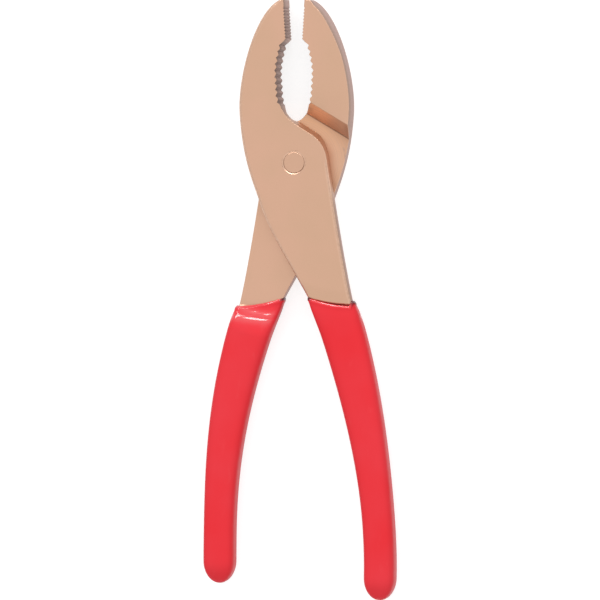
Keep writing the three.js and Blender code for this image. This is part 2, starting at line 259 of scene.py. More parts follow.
def cubic(start, end, curve, count=240):
    leave, leave_pull, arrive, arrive_pull = curve
    start, end = np.array(start, float), np.array(end, float)
    first = start + heading(leave) * leave_pull
    second = end - heading(arrive) * arrive_pull
    t = np.linspace(0, 1, count + 1)[:, None]
    near = (1 - t) ** 3 * start + 3 * (1 - t) ** 2 * t * first
    return near + 3 * (1 - t) * t**2 * second + t**3 * end


def quadratic(start, pull, end, count=60):
    start, pull, end = (np.array(p, float) for p in (start, pull, end))
    t = np.linspace(0, 1, count + 1)[:, None]
    return (1 - t) ** 2 * start + 2 * (1 - t) * t * pull + t**2 * end


def run_of(points):
    """Distance along a line at each of its points."""
    return np.concatenate([[0], np.cumsum(np.linalg.norm(np.diff(points, axis=0), axis=1))])


def at_run(at, run, values):
    return np.column_stack([np.interp(at, run, values[:, k]) for k in (0, 1)])


def spaced(points):
    """The same line with even fine steps, without its last point."""
    points = np.asarray(points, float)
    run = run_of(points)
    count = max(1, round(run[-1] / FINE_SPACING))
    return at_run(np.linspace(0, run[-1], count + 1)[:-1], run, points)


def centre_line(shape):
    """A handle's centre line from the root, given as its tip and the curve that leads there."""
    points = cubic(ROOT, *shape, 600)
    travel = unit(np.gradient(points, axis=0))
    reach = run_of(points)
    return SimpleNamespace(points=points, travel=travel, reach=reach, length=reach[-1])


def on_line(line, distance):
    """Point and travel of the centre line at distances from the root."""
    travel = unit(at_run(distance, line.reach, line.travel))
    return at_run(distance, line.reach, line.points), travel


def beside(travel):
    return np.column_stack([-travel[:, 1], travel[:, 0]])


def along_and_across(line, points, skip=4):
    """Distance along the centre line and sideways from it of each point."""
    gaps = points[:, None, :] - line.points[None, ::skip, :]
    nearest = skip * np.argmin((gaps**2).sum(2), axis=1)
    offset = points - line.points[nearest]
    along = line.reach[nearest] + (offset * line.travel[nearest]).sum(1)
    return along, (offset * beside(line.travel[nearest])).sum(1)


def grip_half(distance):
    taper = smoothstep(distance, JOGGLE_START, JOGGLE_START + GRIP_TAPER_LENGTH)
    return lerp(GRIP_TOP_WIDTH, GRIP_END_WIDTH, taper) / 2


def joggle(distance):
    return smoothstep(distance, JOGGLE_START, JOGGLE_START + JOGGLE_LENGTH)


def rim_drift(reach):
    """How much of the rim's slant still shows at a distance along the handle."""
    start = dist(ROOT, RIM_CENTRE)
    return 1 - smoothstep(reach, start + RIM_HOLD, start + RIM_FADE)


def rim_place(points):
    """Place of points across the rim and above the straight line through its ends."""
    offset = points - np.array(RIM_CENTRE)
    return offset @ heading(RIM_SLANT), offset @ heading(RIM_SLANT + 90)


def rim_sag(aside):
    return RIM_SAG * np.clip(1 - (aside / RIM_HALF_SPAN) ** 2, 0, 1)


def below_rim(points):
    """How far each point lies down the handle from the rim of the grip."""
    aside, above = rim_place(points)
    return -above - rim_sag(aside)


def tucked(line, points):
    """Edge points drawn in to the core's width where they pass under the grip."""
    along, across = along_and_across(line, points)
    share = smoothstep(below_rim(points), *TUCK_FADE)
    limit = grip_half(along) - CORE_INSET
    kept = np.sign(across) * np.minimum(np.abs(across), limit)
    point, travel = on_line(line, along)
    moved = point + beside(travel) * lerp(across, kept, share)[:, None]
    return np.where((share > 0)[:, None], moved, points)


def throat_side():
    foot = np.array([-THROAT_HALF_WIDTH, THROAT_FOOT])
    top = foot + [0, THROAT_SIDE]
    lip = np.array([-JAW_GAP / 2 - FLAT_CHAMFER, FLAT_FOOT - FLAT_CHAMFER])
    return np.vstack([[foot], quadratic(top, top + [0, THROAT_BEND], lip)])


def tooth_line():
    """The throat's side, run on a little into its floor and the chamfer above."""
    side = throat_side()
    below = side[0] - heading(THROAT_FLOOR[2]) * TEETH_BELOW_FOOT
    return np.vstack([[below], side, [side[-1] + heading(CHAMFER_ANGLE) * TEETH_ABOVE_LIP]])


def core_outline(line):
    """The core inside the grip: down its inner side, round its end and up its outer side."""
    last = line.length - GRIP_TIP_ROUND - CORE_SHORT
    distance = np.arange(NECK_LENGTH, last, CORE_SPACING)
    point, travel = on_line(line, distance)
    half = (grip_half(distance) - CORE_INSET)[:, None]
    inner, outer = point - beside(travel) * half, point + beside(travel) * half
    end, end_travel = on_line(line, np.array([last]))
    radius = grip_half(last) - CORE_INSET
    turn = np.radians(np.linspace(-90, 90, 13))[:, None]
    end_round = end + radius * (np.cos(turn) * end_travel + np.sin(turn) * beside(end_travel))
    return np.vstack([inner, end_round, outer[::-1]])


def lever_outline(line):
    """Points round a lever, with both edges' rounding, its border and the wall's slope at each."""
    neck, neck_travel = on_line(line, np.array([NECK_LENGTH]))
    neck_angle = degrees(atan2(neck_travel[0, 1], neck_travel[0, 0]))
    half = grip_half(NECK_LENGTH) - CORE_INSET
    neck_inner = (neck - beside(neck_travel) * half)[0]
    neck_outer = (neck + beside(neck_travel) * half)[0]

    tip_inner = np.array([-JAW_GAP / 2, JAW_REACH])
    tip_outer = np.array([-TIP_WIDTH, JAW_REACH])
    widest = np.array([-HEAD_HALF_WIDTH, WIDEST_AT])
    waist = np.array([-WAIST_HALF_WIDTH, WAIST_AT])
    corner_pull = waist + heading(WAIST_BEND[2]) * WAIST_CORNER / 2
    corner = corner_pull + heading(INNER_EDGE[0]) * WAIST_CORNER / 2
    cheek = np.array([CHEEK_RADIUS, 0])
    arc = np.radians(np.linspace(0, SHOULDER_ANGLE, 60))
    shoulder = CHEEK_RADIUS * np.column_stack([np.cos(arc), np.sin(arc)])
    side = throat_side()
    flat_foot = np.array([-JAW_GAP / 2, FLAT_FOOT])

    inner_curve = (*INNER_EDGE[:2], neck_angle, INNER_EDGE[3])
    outer_curve = (neck_angle + 180, *OUTER_EDGE[1:])
    stretches = [
        (spaced([tip_inner, tip_outer]), TIP_ROUND),
        (spaced(cubic(tip_outer, widest, JAW_BACK)), BACK_ROUND),
        (spaced(cubic(widest, waist, WAIST_BEND)), BACK_ROUND),
        (spaced(quadratic(waist, corner_pull, corner)), NECK_ROUND),
        (tucked(line, spaced(cubic(corner, neck_inner, inner_curve))), NECK_ROUND),
        (core_outline(line), NECK_ROUND),
        (tucked(line, spaced(cubic(neck_outer, cheek, outer_curve))), NECK_ROUND),
        (spaced(shoulder), CHEEK_ROUND),
        (spaced(cubic(shoulder[-1], side[0], THROAT_FLOOR)), CHEEK_ROUND),
        (spaced(side), MOUTH_ROUND),
        (spaced([side[-1], flat_foot]), MOUTH_ROUND),
        (spaced([flat_foot, tip_inner]), MOUTH_ROUND),
    ]
    points = np.vstack([p for p, _ in stretches])
    rounds = np.vstack([np.tile(r, (len(p), 1)) for p, r in stretches])
    near = np.exp(-(np.arange(-BLEND_REACH, BLEND_REACH + 1) / BLEND_WIDTH) ** 2)
    near /= near.sum()
    wrapped = np.vstack([rounds[-BLEND_REACH:], rounds, rounds[:BLEND_REACH]])
    rounds = np.column_stack([np.convolve(wrapped[:, k], near, "valid") for k in (0, 1)])
    along, _ = along_and_across(line, points)
    hidden = smoothstep(below_rim(points), *HIDDEN_FADE) * (points[:, 1] < ROOT[1])
    core_round = lerp(GRIP_TOP_ROUND, GRIP_ROUND, joggle(along)) - GRIP_INSET + CORE_EXTRA_ROUND
    rounds = lerp(rounds, core_round[:, None], hidden[:, None])
    from_corner = np.linalg.norm(points - tip_inner, axis=1)
    rounds = np.minimum(rounds, np.maximum(0.5 * from_corner, 0.05)[:, None])
    support = np.clip(0.25 * from_corner, 0.03, SUPPORT)
    bearing = np.degrees(np.arctan2(points[:, 1], points[:, 0]))
    near_axis = np.linalg.norm(points, axis=1) < STEP_FOOT
    on_floor = smoothstep(bearing, *FLOOR_IN)
    draft = FLOOR_DRAFT * on_floor * (1 - smoothstep(bearing, *FLOOR_OUT)) * near_axis
    back = smoothstep(-points[:, 0], *TIP_ASIDE)
    draft -= TIP_DRAFT * back * smoothstep(points[:, 1], *TIP_ALONG)
    return points, rounds, support, draft


def outward_level(points):
    """Height of the outward face: flat, easing down into the grip just above the rim."""
    above = -below_rim(points)
    gentle = NECK_DROP * (1 - smoothstep(above, NECK_EASE, NECK_EASE + NECK_SLOPE))
    steep = (NECK_FOOT - NECK_DROP) * (1 - smoothstep(above, *FOOT_FADE))
    return THICKNESS - gentle - steep


def step_distance(points):
    return points @ heading(STEP_SLANT + 90)


def lap_side_level(line, points):
    """Height of the lap side: the jaw's face, the sloped step, the lap, and the core's underside."""
    level = 0
    for shift in np.linspace(-CREASE, CREASE, CREASE_STEPS):
        share = np.clip((step_distance(points) + shift - STEP_FOOT) / STEP_RUN, 0, 1)
        level = level + LAP_LEVEL * (1 - share) / CREASE_STEPS
    along, _ = along_and_across(line, points)
    below = below_rim(points)
    sunk = joggle(along) * smoothstep(below, *SINK_FADE) * (points[:, 1] < ROOT[1])
    aside, _ = rim_place(points)
    rise = smoothstep(aside, *CORNER_ASIDE) * smoothstep(below, *CORNER_IN)
    rise = rise * (1 - smoothstep(below, *CORNER_OUT))
    return level - sunk * (LAP_LEVEL - CORE_INSET) - CORNER_RISE * rise


def triangulated(boundary, hole, lines, free):
    """Flat triangles inside a boundary and outside a hole, along the given lines."""
    points = [*map(tuple, boundary), *map(tuple, hole)]
    rim, bore = len(boundary), len(hole)
    edges = [(i, (i + 1) % rim) for i in range(rim)]
    edges += [(rim + i, rim + (i + 1) % bore) for i in range(bore)]
    for first, middle, last in lines:
        chain = [first, *range(len(points), len(points) + len(middle)), last]
        points += map(tuple, middle)
        edges += zip(chain[:-1], chain[1:])
    points += map(tuple, free)
    made = geometry.delaunay_2d_cdt([Vector(p) for p in points], edges, [], 1, 1e-6)
    flat = np.array([v[:] for v in made[0]])
    bore_radius = np.linalg.norm(hole, axis=1).mean()
    faces = []
    for a, b, c in made[2]:
        if np.linalg.norm(flat[[a, b, c]].mean(0)) < 0.99 * bore_radius:
            continue
        ab, ac = flat[b] - flat[a], flat[c] - flat[a]
        faces.append((a, b, c) if ab[0] * ac[1] > ab[1] * ac[0] else (a, c, b))
    source = [min(known) if len(known) else -1 for known in made[3]]
    return flat, faces, source


def inside(point, polygon):
    """Whether a point lies inside a polygon and clear of its edge."""
    if np.min(np.linalg.norm(polygon - point, axis=1)) < CLEAR_OF_EDGE:
        return False
    a, b = polygon, np.roll(polygon, -1, axis=0)
    cross = (a[:, 1] > point[1]) != (b[:, 1] > point[1])
    rise = np.where(cross, b[:, 1] - a[:, 1], 1)
    level = (b[:, 0] - a[:, 0]) * (point[1] - a[:, 1]) / rise + a[:, 0]
    return bool((cross & (point[0] < level)).sum() % 2)


def rim_rows(levels, boundary):
    """Points in rows along the rim at set distances above it, where they lie inside a boundary."""
    aside = np.arange(*ROW_SPAN)
    across = np.array(RIM_CENTRE) + np.outer(aside, heading(RIM_SLANT))
    rows = [across + np.outer(level - rim_sag(aside), heading(RIM_SLANT + 90)) for level in levels]
    return np.array([p for p in np.vstack(rows) if inside(p, boundary)])


def crossing_lines(boundary, distances, levels):
    """Straight lines across a boundary at set levels of a distance, ending on its points."""
    lines = []
    across = heading(STEP_SLANT + 90)
    for level in levels:
        side = distances > level
        ends = [i for i in range(len(side)) if side[i] != side[i - 1]]
        first, last = ends[0], ends[-1]
        start, stop = boundary[first], boundary[last]
        count = max(2, round(np.linalg.norm(stop - start) / STEP_SPACING))
        middle = lerp(start, stop, np.linspace(0, 1, count + 1)[1:-1, None])
        middle = middle + np.outer(level - middle @ across, across)
        lines.append((first, middle, last))
    return lines


def band(lower, upper, count, inner=False):
    """Faces between two rings of points, each given by its first index."""
    for i in range(count):
        j = (i + 1) % count
        if inner:
            yield lower + i, upper + i, upper + j, lower + j
        else:
            yield lower + i, lower + j, upper + j, upper + i


def mark(mesh, numbers):
    """Store named numbers on a mesh's points."""
    for label, values in numbers.items():
        mesh.attributes.new(label, "FLOAT", "POINT").data.foreach_set("value", values)


def lever_blank(name, shape):
    """A lever as a closed mesh with rounded edges, a rivet hole and a smooth jaw mouth."""
    line = centre_line(shape)
    outline, rounds, support, draft = lever_outline(line)
    count = len(outline)
    edges = np.roll(outline, -1, axis=0) - outline
    inward = unit(beside(edges))
    before = np.roll(inward, 1, axis=0)
    mitre = (before + inward) / (1 + (before * inward).sum(1))[:, None]
    turns = np.radians(np.linspace(0, 90, ROUND_STEPS + 1))

    points, wear_and_glint_shares, laps, faces = [], [], [], []

    def add(flat, level, edge, lap=0):
        points.append(np.column_stack([flat, level]))
        wear_and_glint_shares.append(np.full(len(flat), edge, float))
        laps.append(np.zeros(len(flat)) + lap)
        return sum(len(p) for p in points) - len(flat)

    def lap_side(flat):
        return lap_side_level(line, flat)

    def ground(flat):
        return lap_side(flat) > GROUND_ABOVE

    high, low = rounds.T
    foot_line = outline - mitre * draft[:, None]
    low_flat = foot_line + mitre * (low + support)[:, None]
    rings = [add(low_flat, lap_side(low_flat), 0, ground(low_flat))]
    for turn in turns[::-1]:
        flat = foot_line + mitre * (low * (1 - cos(turn)))[:, None]
        level = lap_side(flat) + low * (1 - sin(turn))
        rings.append(add(flat, level, sin(2 * turn), ground(flat) * sin(turn)))
    rings.append(add(foot_line, lap_side(foot_line) + low + support, 0))
    rings.append(add(outline, outward_level(outline) - high - support, 0))
    for turn in turns:
        flat = outline + mitre * (high * (1 - cos(turn)))[:, None]
        level = outward_level(flat) - high * (1 - sin(turn))
        rings.append(add(flat, level, sin(2 * turn)))
    high_flat = outline + mitre * (high + support)[:, None]
    rings.append(add(high_flat, outward_level(high_flat), 0))
    for lower, upper in zip(rings[:-1], rings[1:]):
        faces += band(lower, upper, count)

    mouth = RIVET_HEAD_RADIUS + RING_GAP
    shank = RIVET_SHANK_RADIUS + RIVET_GAP
    turn = np.linspace(0, 2 * np.pi, HOLE_SIDES, endpoint=False)
    circle = np.column_stack([np.cos(turn), np.sin(turn)])
    ring = lerp(*RING_WIDTH, 0.5 + 0.5 * np.cos(turn - radians(RING_WIDEST_AT)))
    sunk = ring * tan(radians(RING_SLOPE))
    # The ring's chamfer rows carry 0.8 of the rubbed-edge share: the lighter tint there is a painted
    # highlight
    bore = [
        (shank + BORE_CHAMFER, LAP_LEVEL, 0),
        (shank, LAP_LEVEL + BORE_CHAMFER, 0.4),
        (shank, THICKNESS - COUNTERSINK_DEPTH, 0),
        (mouth, THICKNESS - 0.02 - sunk, 0),
        (mouth + 0.01, THICKNESS - sunk, 0.8),
        (mouth + ring, THICKNESS, 0.8),
        (mouth + RING_WIDTH[1] + 0.1, THICKNESS, 0),
    ]
    even = np.ones(HOLE_SIDES)
    bores = [add(circle * (even * size)[:, None], even * level, edge) for size, level, edge in bore]
    for lower, upper in zip(bores[:-1], bores[1:]):
        faces += band(lower, upper, HOLE_SIDES, inner=True)

    def cap(boundary, ring, bore_ring, lines, free, level_of, upward):
        hole = np.vstack(points)[bore_ring : bore_ring + HOLE_SIDES, :2]
        flat, triangles, source = triangulated(boundary, hole, lines, free)
        level = level_of(flat)
        lap = np.zeros(len(flat)) if upward else ground(flat)
        index = []
        for i, known in enumerate(source):
            if 0 <= known < count:
                index.append(ring + known)
            elif count <= known < count + HOLE_SIDES:
                index.append(bore_ring + known - count)
            else:
                index.append(add(flat[i : i + 1], level[i : i + 1], 0, lap[i]))
        for a, b, c in triangles:
            corners = (index[a], index[b], index[c])
            faces.append(corners if upward else corners[::-1])

    spine, _ = on_line(line, np.arange(JOGGLE_START + 2, line.length - GRIP_TIP_ROUND - 3, 2.0))
    creases = [STEP_FOOT + k * CREASE for k in FOOT_LINES]
    creases += [STEP_FOOT + STEP_RUN + k * CREASE for k in TOP_LINES]
    steps = crossing_lines(low_flat, step_distance(low_flat), creases)
    low_free = np.vstack([rim_rows(SEAT_ROWS, low_flat), spine])
    cap(low_flat, rings[0], bores[0], steps, low_free, lap_side, False)
    high_free = np.vstack([rim_rows(SLOPE_ROWS, high_flat), spine])
    cap(high_flat, rings[-1], bores[-1], [], high_free, outward_level, True)

    made = new_mesh(name, np.vstack(points), faces)
    flats = np.vstack(points)[:, :2]
    radius = np.linalg.norm(flats, axis=1)
    lapped = np.concatenate(laps).astype(float)
    beside_rivet = smoothstep(flats[:, 0], *MILLED_ASIDE)
    shares = {
        "edge_wear": np.concatenate(wear_and_glint_shares),
        "ground": lapped,
        "step": step_distance(flats) - STEP_FOOT,
        "lap": lapped * (1 - smoothstep(radius, *LAP_FADE)),
        "milled": (1 - smoothstep(radius, *MILLED_FADE)) * beside_rivet,
    }
    mark(made.data, shares)
    return made


def linked(name, data):
    made = bpy.data.objects.new(name, data)
    bpy.context.scene.collection.objects.link(made)
    return made


def new_mesh(name, points, faces):
    mesh = bpy.data.meshes.new(name)
    mesh.from_pydata([tuple(map(float, p)) for p in points], [], faces)
    mesh.update()
    return linked(name, mesh)


def new_curve(name, points):
    curve = bpy.data.curves.new(name, "CURVE")
    curve.dimensions = "3D"
    spline = curve.splines.new("POLY")
    spline.points.add(len(points) - 1)
    for knot, (x, y) in zip(spline.points, points):
        knot.co = (x, y, 0, 1)
    return linked(name, curve)


def put(socket, value):
    """Link a socket to another one, or set it to a plain value."""
    if isinstance(value, bpy.types.NodeSocket):
        socket.id_data.links.new(value, socket)
    else:
        socket.default_value = value


def node(tree, kind, inputs=None, **settings):
    made = tree.nodes.new(kind)
    for key, value in settings.items():
        setattr(made, key, value)
    for key, value in (inputs or {}).items():
        put(made.inputs[key], value)
    return made


def outcome(tree, kind, inputs=None, **settings):
    return node(tree, kind, inputs, **settings).outputs[0]


def geo(tree, kind, inputs=None, **settings):
    return outcome(tree, "GeometryNode" + kind, inputs, **settings)


def calc(operation, *values, kind="ShaderNodeMath"):
    """One step of arithmetic, in the tree that its first linked value comes from."""
    tree = next(v.id_data for v in values if isinstance(v, bpy.types.NodeSocket))
    return outcome(tree, kind, dict(enumerate(values)), operation=operation)


def vector_calc(operation, *values):
    return calc(operation, *values, kind="ShaderNodeVectorMath")


def times(*values):
    return reduce(lambda a, b: calc("MULTIPLY", a, b), values)


def minus(a, b):
    return calc("SUBTRACT", a, b)


def scaled(vector, factor):
    given = {"Vector": vector, "Scale": factor}
    return outcome(vector.id_data, "ShaderNodeVectorMath", given, operation="SCALE")


def parts(vector):
    return node(vector.id_data, "ShaderNodeSeparateXYZ", {0: vector}).outputs


def stored(piece, name, value, domain="POINT"):
    """Keep a number under a name on each point or face of a piece in a geometry tree."""
    given = {"Geometry": piece, "Name": name, "Value": value}
    return geo(piece.id_data, "StoreNamedAttribute", given, data_type="FLOAT", domain=domain)


def new_tree(name, piece, values):
    """An empty geometry tree with an input for the piece and one for each named value."""
    tree = bpy.data.node_groups.new(name, "GeometryNodeTree")
    kinds = {"Float": float, "Int": int, "Object": bpy.types.Object, "Material": bpy.types.Material}
    inputs = {piece: "Geometry"}
    for label, value in values.items():
        inputs[label] = next(kind for kind, plain in kinds.items() if isinstance(value, plain))
    for label, kind in inputs.items():
        tree.interface.new_socket(label, in_out="INPUT", socket_type="NodeSocket" + kind)
    tree.interface.new_socket("Geometry", in_out="OUTPUT", socket_type="NodeSocketGeometry")
    return tree, tree.nodes.new("NodeGroupInput").outputs


def closed_tree(piece, finish):
    """End a geometry tree with real geometry that has its finish."""
    tree = piece.id_data
    real = geo(tree, "RealizeInstances", {"Geometry": piece})
    done = geo(tree, "SetMaterial", {"Geometry": real, "Material": finish})
    node(tree, "NodeGroupOutput", {0: done})
    return tree


def grown(piece, tree, values):
    """Run a geometry tree on a piece with the named values, and keep its result as a plain mesh."""
    modifier = piece.modifiers.new(tree.name, "NODES")
    modifier.node_group = tree
    for socket in tree.interface.items_tree:
        if socket.item_type == "SOCKET" and socket.in_out == "INPUT" and socket.name in values:
            modifier[socket.identifier] = values[socket.name]
    piece.data.update()
    evaluated = piece.evaluated_get(bpy.context.evaluated_depsgraph_get())
    mesh = bpy.data.meshes.new_from_object(evaluated)
    piece.modifiers.remove(modifier)
    old, piece.data = piece.data, mesh
    mesh.name = piece.name
    bpy.data.meshes.remove(old)


def groove_row(path, pitch, depth, crest, thickness, overrun, shade):
    """Wedges that cut V-shaped grooves across the thickness, one at every pitch of a path, with painted
    shade on their faces.
    """
    tree = path.id_data
    length = geo(tree, "CurveLength", {"Curve": path})
    count = calc("FLOOR", calc("DIVIDE", length, pitch))
    half_step = calc("DIVIDE", 0.5, count)
    ends = {"Curve": path, 2: half_step, 3: minus(1.0, half_step)}
    inner = geo(tree, "TrimCurve", ends, mode="FACTOR")
    spots = {"Curve": inner, "Count": count}
    places = node(tree, "GeometryNodeCurveToPoints", spots, mode="COUNT").outputs
    axes = {"Primary Axis": scaled(places["Tangent"], -1.0), "Secondary Axis": (0.0, 0.0, 1.0)}
    turn = outcome(tree, "FunctionNodeAxesToRotation", axes, primary_axis="Y", secondary_axis="Z")
    reach = calc("ADD", depth, overrun)
    mouth = times(pitch, minus(1.0, crest), calc("DIVIDE", reach, depth))
    stretch = calc("DIVIDE", reach, 1.5)
    tall = calc("MULTIPLY_ADD", overrun, 2.0, thickness)
    wedge = geo(tree, "MeshCylinder", {"Vertices": 3, "Radius": 1.0, "Depth": tall})
    shift = {"X": minus(depth, stretch), "Z": times(thickness, 0.5)}
    size = {"X": stretch, "Y": calc("DIVIDE", mouth, sqrt(3)), "Z": 1.0}
    given = {"Geometry": wedge}
    for label, axes in (("Translation", shift), ("Scale", size)):
        given[label] = outcome(tree, "ShaderNodeCombineXYZ", axes)
    shaped = geo(tree, "Transform", given)
    # Painted shade on the cut faces: darkest on flanks facing away from the light at +Y, lightest on
    # those facing it
    turned = parts(geo(tree, "InputNormal"))[1]
    marked = stored(shaped, "groove", times(calc("MULTIPLY_ADD", turned, -0.45, 0.55), shade), "FACE")
    given = {"Points": places["Points"], "Instance": marked, "Rotation": turn}
    return geo(tree, "InstanceOnPoints", given)


def jaw_teeth_tree(values):
    """Cuts the throat teeth and the serrations of the flat into a lever's smooth jaw."""
    tree, given = new_tree("jaw_teeth", "Lever", values)
    lever = {"Mesh 1": given["Lever"]}
    cut = node(tree, "GeometryNodeMeshBoolean", lever, operation="DIFFERENCE", solver="EXACT")
    shared = [given[label] for label in ("Crest", "Thickness", "Overrun")]
    for path, row, shade in (("Throat", "Tooth", 0.9), ("Flat", "Serration", 0.35)):
        line = node(tree, "GeometryNodeObjectInfo", {"Object": given[path]}).outputs["Geometry"]
        grooves = groove_row(line, given[row + " pitch"], given[row + " depth"], *shared, shade)
        put(cut.inputs["Mesh 2"], grooves)
    return closed_tree(cut.outputs["Mesh"], given["Finish"])


def grip_tree(values):
    """Sweeps a grip along its path: each ring is a soft-cornered box that follows the handle."""
    tree, given = new_tree("dipped_grip", "Path", values)

    def named(label, kind="FLOAT"):
        return geo(tree, "InputNamedAttribute", {"Name": label}, data_type=kind)

    def ramp(value, start, length):
        stop = start + length if isinstance(start, float) else calc("ADD", start, length)
        return between(value, start, stop, interpolation_type="SMOOTHSTEP")

    def mixed(a, b, share):
        return calc("MULTIPLY_ADD", minus(b, a), share, a)

    def boxed(wide, tall, squareness):
        powers = [calc("POWER", calc("ABSOLUTE", wave), squareness) for wave in (wide, tall)]
        reach = calc("POWER", calc("ADD", *powers), calc("DIVIDE", 1.0, squareness))
        return calc("DIVIDE", wide, reach), calc("DIVIDE", tall, reach)

    def bell(off):
        return calc("EXPONENT", times(off, off, -1.0))

    path = geo(tree, "MeshToCurve", {"Mesh": given["Path"]})
    circle = {"Resolution": given["Sides"], "Radius": 1.0}
    ring = geo(tree, "CurvePrimitiveCircle", circle)
    place = node(tree, "GeometryNodeSplineParameter").outputs["Factor"]
    ring = stored(ring, "around", times(place, 2 * pi))
    tube = geo(tree, "CurveToMesh", {"Curve": path, "Profile Curve": ring})

    # Place on the handle, and how far the rim's slant, sag and curl slide it along
    reach, inset, shrink, lip = map(named, ("reach", "inset", "shrink", "lip"))
    travel, angle = named("travel", "FLOAT_VECTOR"), named("around")
    across = vector_calc("CROSS_PRODUCT", (0.0, 0.0, 1.0), travel)
    wide, tall = calc("COSINE", angle), calc("SINE", angle)
    taper = ramp(reach, given["Joggle start"], given["Taper length"])
    half = times(mixed(given["Top width"], given["End width"], taper), 0.5)
    half_top = times(given["Top width"], 0.5)
    share, _ = boxed(wide, tall, given["Top squareness"])
    lean = times(share, half_top, given["Rim lean"])
    hang = minus(1.0, times(share, share))
    slide = calc("MULTIPLY_ADD", hang, given["Rim sag"], lean)
    curl = times(ramp(share, *CURL_SHARE), given["Corner curl"])
    slide = times(minus(slide, curl), named("drift"))
    slid = calc("ADD", reach, slide)

    # Joggle and wrinkles on the underside of the ring
    lift = ramp(slid, given["Joggle start"], given["Joggle length"])
    square = mixed(given["Top squareness"], given["End squareness"], lift)
    low = mixed(given["Rim level"], 0.0, lift)
    inward = ramp(calc("ABSOLUTE", calc("ADD", share, 0.06)), *RIDGE_SHARE)
    gloss = 0.0
    for label in WRINKLES:
        sag = times(given[label + " sag"], -1.0)
        bend = calc("MULTIPLY_ADD", share, sag, given[label + " tilt"])
        line = calc("MULTIPLY_ADD", share, bend, given[label + " place"])
        off = calc("DIVIDE", minus(slid, line), given["Wrinkle width"])
        low = minus(low, times(bell(off), given[label + " height"], inward))
        gloss = calc("MAXIMUM", gloss, bell(calc("DIVIDE", off, given["Gloss spread"])))
    gloss = times(gloss, ramp(tall, *UNDERSIDE_SHARE))
    gloss = times(gloss, ramp(calc("ABSOLUTE", minus(share, 0.1)), *GLOSS_SHARE))

    # Where each point goes, its painted shade at the rim's corners and its gloss
    middle = times(calc("ADD", low, given["Thickness"]), 0.5)
    rise = times(minus(given["Thickness"], low), 0.5)
    box_side, box_up = boxed(wide, tall, square)
    side = times(minus(half, named("side_inset")), box_side, shrink)
    up = calc("MULTIPLY_ADD", times(minus(rise, inset), box_up), shrink, middle)
    spot = vector_calc("ADD", named("spot", "FLOAT_VECTOR"), scaled(across, side))
    lifted = outcome(tree, "ShaderNodeCombineXYZ", {"Z": up})
    where = vector_calc("ADD", spot, vector_calc("ADD", scaled(travel, slide), lifted))
    # Painted shade at the rim's corners: the outer corner by its given strength, the inner one along
    # the lip
    outer = times(ramp(share, *CORNER_SHADE_SHARE), given["Outer grime"], named("rim"))
    inner = times(ramp(times(share, -1.0), *CORNER_SHADE_SHARE), lip)
    tube = stored(tube, "grime", calc("MAXIMUM", inner, outer))
    tube = stored(tube, "gloss", calc("MAXIMUM", gloss, times(lip, 0.6)))
    placed = geo(tree, "SetPosition", {"Geometry": tube, "Position": where})
    merged = geo(tree, "MergeByDistance", {"Geometry": placed, "Distance": 1e-3})
    smooth = geo(tree, "SetShadeSmooth", {"Geometry": merged})
    return closed_tree(smooth, given["Finish"])


def grip_path(name, line):
    """The path a grip is swept along: up its cavity, over the rim's lip and down to its tip."""
    rim_start = float(np.interp(0, -rim_place(line.points)[1], line.reach))
    end = line.length - GRIP_TIP_ROUND
    turns = np.radians(np.linspace(0, 90, TIP_RINGS))
    rows = []
    for turn in turns[::-1]:
        rows.append((end + CAVITY_TIP * sin(turn), CAVITY_INSET, CAVITY_INSET, cos(turn)))
    for reach in np.arange(end - 2, rim_start + 5, -2.0):
        rows.append((reach, CAVITY_INSET, CAVITY_INSET, 1))
    for step, inset, side_inset in LIP:
        rows.append((rim_start + step, inset, side_inset, 1))
    reach = rim_start + LIP[-1][0]
    while reach < end - 1:
        reach += WRINKLED_SPACING if reach < rim_start + WRINKLED_LENGTH else PLAIN_SPACING
        rows.append((reach, 0, 0, 1))
    for turn in turns[1:]:
        rows.append((end + GRIP_TIP_ROUND * sin(turn), 0, 0, cos(turn)))
    rows = np.array(rows)
    reach, inset, side_inset, shrink = rows.T
    spot, travel = on_line(line, reach)
    beyond = np.maximum(0, reach - line.length)
    spot = spot + travel * beyond[:, None]
    flat = np.zeros((len(rows), 1))
    made = new_mesh(name, np.column_stack([np.arange(len(rows)), flat, flat]), [])
    mesh = made.data
    mesh.edges.add(len(rows) - 1)
    mesh.edges.foreach_set("vertices", [k for i in range(len(rows) - 1) for k in (i, i + 1)])
    numbers = {"reach": reach, "inset": inset, "side_inset": side_inset, "shrink": shrink}
    numbers["drift"] = rim_drift(reach)
    numbers["lip"] = 1 - smoothstep(reach - rim_start, *LIP_FADE)
    numbers["rim"] = 1 - smoothstep(reach - rim_start, *RIM_SHADE_FADE)
    mark(mesh, numbers)
    for label, values in (("spot", spot), ("travel", travel)):
        kept = mesh.attributes.new(label, "FLOAT_VECTOR", "POINT")
        kept.data.foreach_set("vector", np.hstack([values, flat]).ravel())
    mesh.update()
    return made


